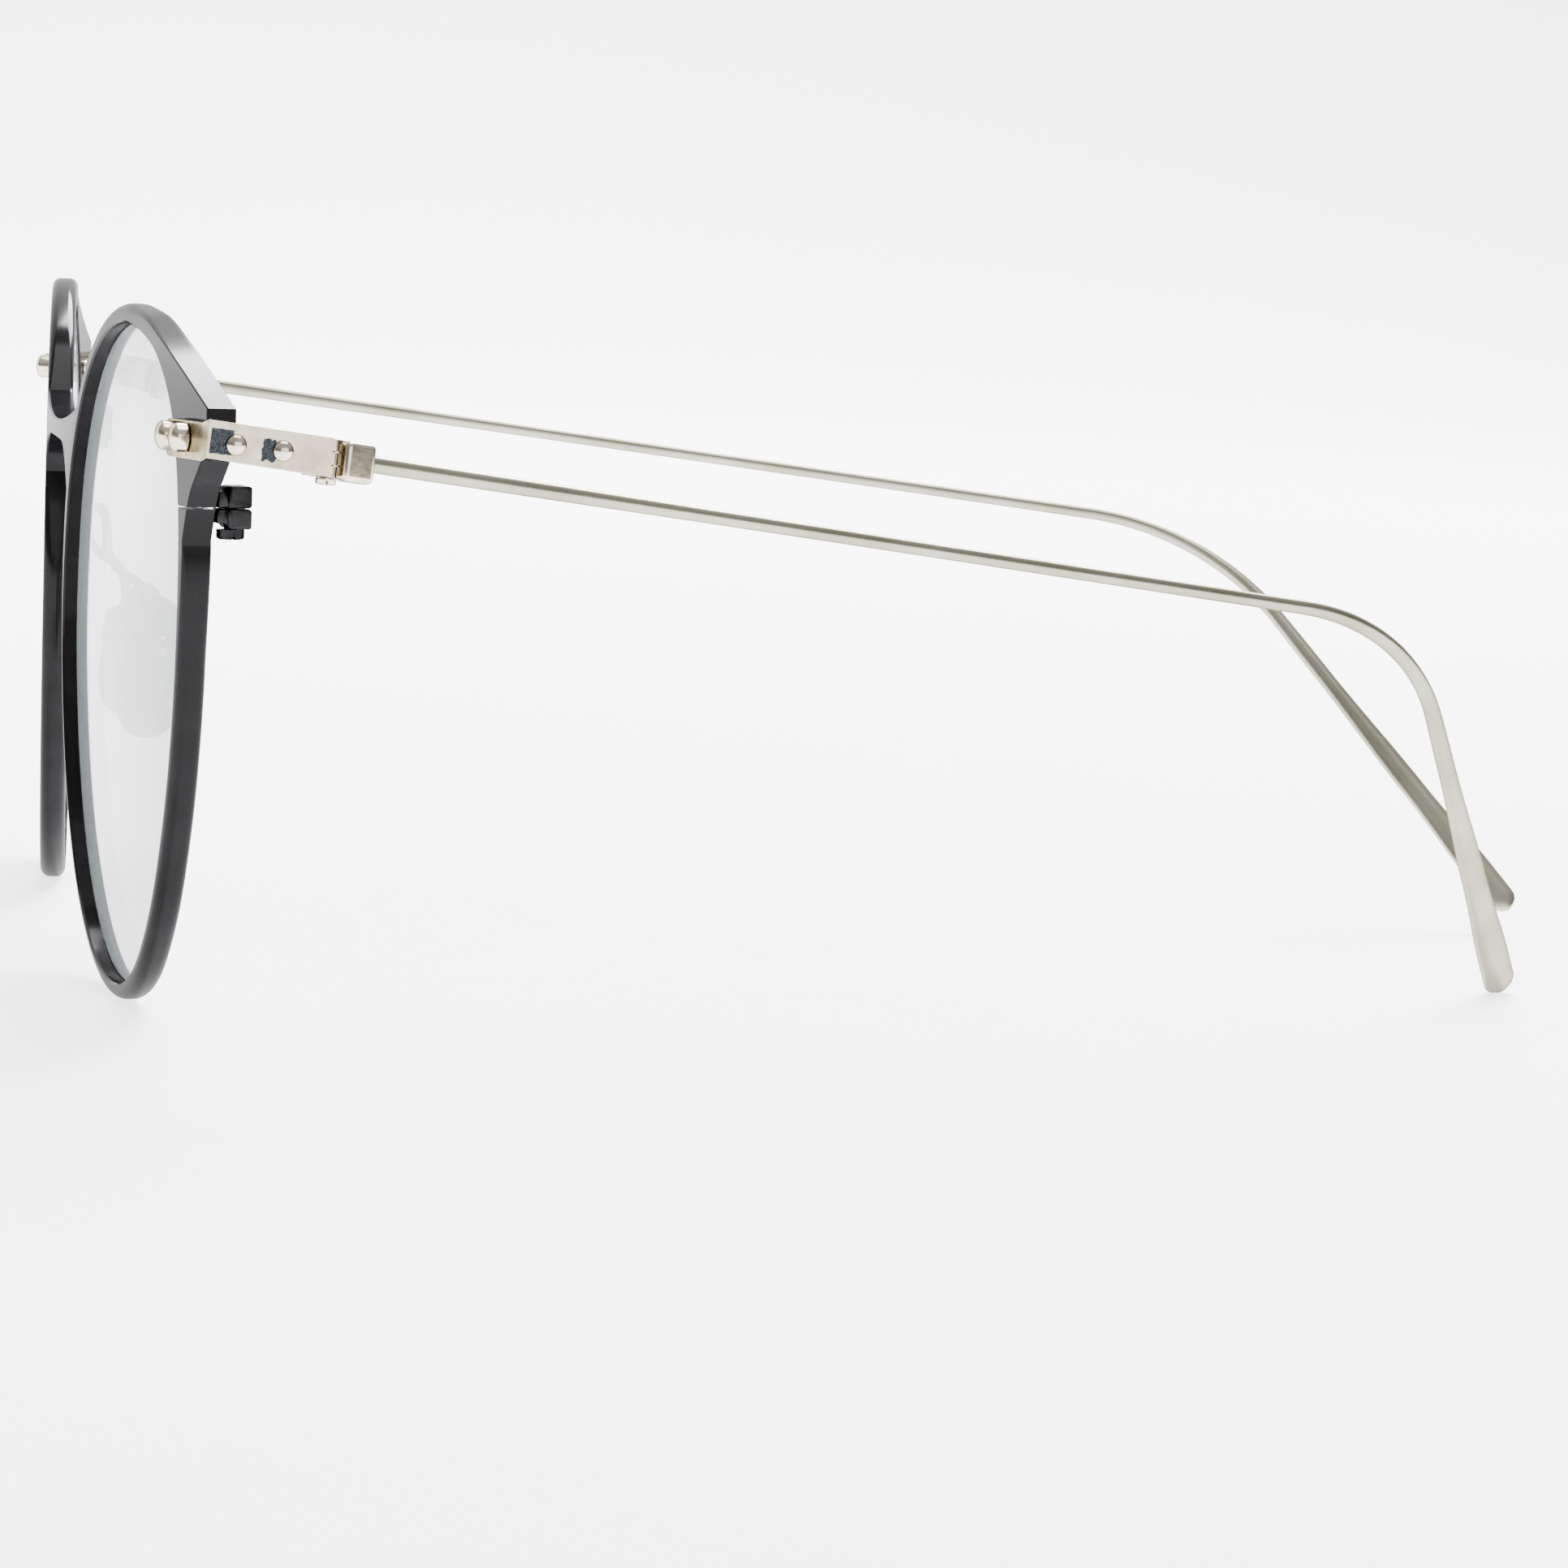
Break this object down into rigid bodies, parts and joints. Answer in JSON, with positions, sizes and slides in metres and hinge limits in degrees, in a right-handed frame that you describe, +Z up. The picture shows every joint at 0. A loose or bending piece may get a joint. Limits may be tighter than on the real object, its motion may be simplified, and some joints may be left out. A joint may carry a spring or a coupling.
{
  "type": "round eyeglasses",
  "caption": "Round flat-rim eyeglasses with a plate bridge, adjustable nose pads, riveted endpieces and slim folding wire temples with flattened tips.",
  "frame": {"origin": "on the table, in the middle of the space that the pair takes up with its temples partly folded", "axes": "+X to the wearer's left, +Y from the front back towards the temple tips, +Z up from the table"},
  "size_m": [0.1368, 0.1348, 0.0507],
  "materials": {
    "black_lacquer": "satin black lacquer",
    "clear_lens": "clear, polished",
    "blackened_steel": "blackened",
    "polished_nickel": "polished, slightly warm",
    "satin_metal": "satin, drawn along its length",
    "pad_arm_metal": "satin",
    "clear_silicone": "clear, soft gloss"
  },
  "bodies": {
    "front": {"front_frame": "black_lacquer", "lens_left": "clear_lens", "closing_block_upper_left": "blackened_steel", "closing_block_lower_left": "blackened_steel", "closing_screw_left": "blackened_steel", "endpiece_left": "polished_nickel", "front_rivet_outer_left": "polished_nickel", "front_rivet_inner_left": "polished_nickel", "side_rivet_front_left": "polished_nickel", "side_rivet_rear_left": "polished_nickel", "hinge_leaf_left": "polished_nickel", "hinge_screw_left": "polished_nickel", "nose_pad_screw_left": "polished_nickel", "nose_pad_arm_left": "pad_arm_metal", "nose_pad_box_left": "pad_arm_metal", "lens_right": "clear_lens", "closing_block_upper_right": "blackened_steel", "closing_block_lower_right": "blackened_steel", "closing_screw_right": "blackened_steel", "endpiece_right": "polished_nickel", "front_rivet_outer_right": "polished_nickel", "front_rivet_inner_right": "polished_nickel", "side_rivet_front_right": "polished_nickel", "side_rivet_rear_right": "polished_nickel", "hinge_leaf_right": "polished_nickel", "hinge_screw_right": "polished_nickel", "nose_pad_screw_right": "polished_nickel", "nose_pad_arm_right": "pad_arm_metal", "nose_pad_box_right": "pad_arm_metal"},
    "temple_left": {"temple_block_left": "polished_nickel", "temple_wire_left": "satin_metal"},
    "temple_right": {"temple_block_right": "polished_nickel", "temple_wire_right": "satin_metal"},
    "nose_pad_left": {"nose_pad_left": "clear_silicone"},
    "nose_pad_right": {"nose_pad_right": "clear_silicone"}
  },
  "joints": [
    {"name": "temple_left_fold", "type": "hinge", "parent": "front", "child": "temple_left", "pos_m": [0.0655, -0.05352, 0.04156], "axis": [-0.0941, 0.0723, 0.9929], "range_deg": [-22.8, 59]},
    {"name": "temple_right_fold", "type": "hinge", "parent": "front", "child": "temple_right", "pos_m": [-0.0655, -0.05352, 0.04156], "axis": [-0.0941, -0.0723, -0.9929], "range_deg": [-7, 67]},
    {"name": "nose_pad_left_rock", "type": "hinge", "parent": "front", "child": "nose_pad_left", "pos_m": [0.00975, -0.06048, 0.02356], "axis": [0.5299, 0.8462, 0.0567], "range_deg": [-10, 10]},
    {"name": "nose_pad_right_rock", "type": "hinge", "parent": "front", "child": "nose_pad_right", "pos_m": [-0.00975, -0.06048, 0.02356], "axis": [-0.5299, 0.8462, 0.0567], "range_deg": [-10, 10]}
  ]
}
